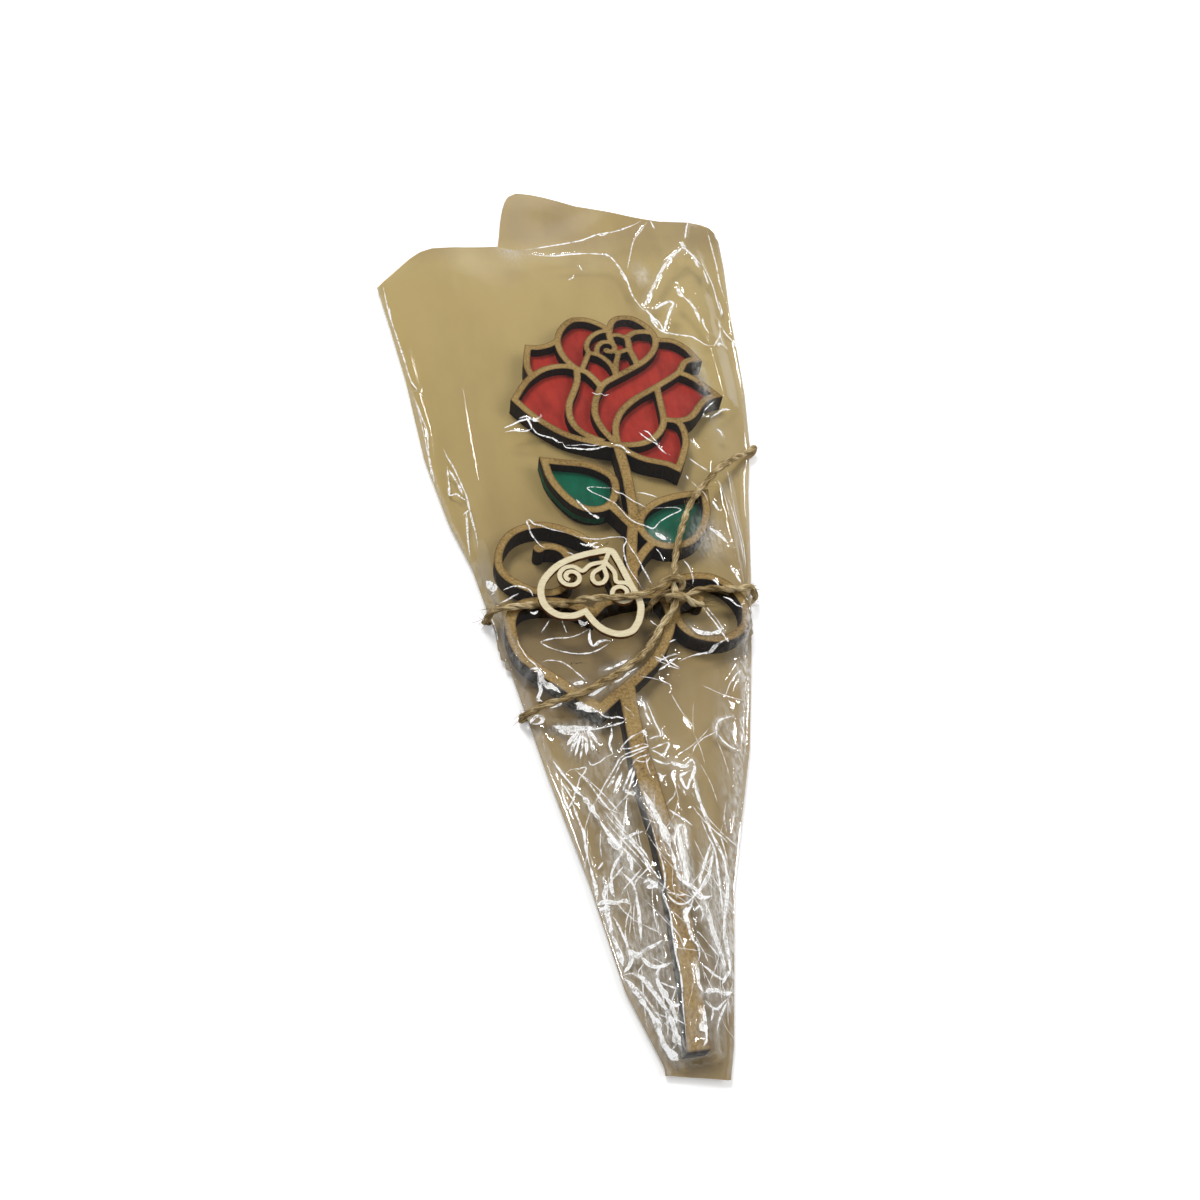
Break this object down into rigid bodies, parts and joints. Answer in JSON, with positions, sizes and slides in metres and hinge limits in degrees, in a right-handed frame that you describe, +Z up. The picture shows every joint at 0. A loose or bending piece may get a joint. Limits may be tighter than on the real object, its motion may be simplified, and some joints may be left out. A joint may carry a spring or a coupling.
{
  "type": "wooden rose in a sleeve",
  "caption": "Flat laser-cut wooden rose of glued boards with painted petals and leaves, lying in a clear tapered sleeve tied with twine that carries a heart tag.",
  "frame": {"origin": "on the table, under the middle of the whole object's box", "axes": "+Y along the stem towards the flower and the sleeve's mouth, +X to the right seen from the front, +Z up out of the rose's face"},
  "size_m": [0.1706, 0.4278, 0.02],
  "materials": {
    "back_film": "thin kraft-tan film, glossy, softly wrinkled",
    "front_film": "clear glossy film with sharp creases",
    "jute": "twisted jute with loose fibres",
    "cut_board": "bare fibreboard, faces tan, laser-cut edges charred",
    "painted_board": "fibreboard painted red under the flower and green under the leaves, edges charred",
    "pale_plywood": "thin pale plywood, laser cut"
  },
  "bodies": {
    "sleeve": {"back_film": "back_film", "front_film": "front_film", "twine": "jute"},
    "rose": {"rose_contour": "cut_board", "rose_base": "painted_board"},
    "tag": {"heart_tag": "pale_plywood"}
  },
  "joints": [
    {"name": "rose_slide", "type": "slide", "parent": "sleeve", "child": "rose", "axis": [0, 1, 0], "range_m": [0, 0.18]},
    {"name": "tag_slide", "type": "slide", "parent": "sleeve", "child": "tag", "axis": [1, 0, 0], "range_m": [-0.004, 0.004]}
  ]
}
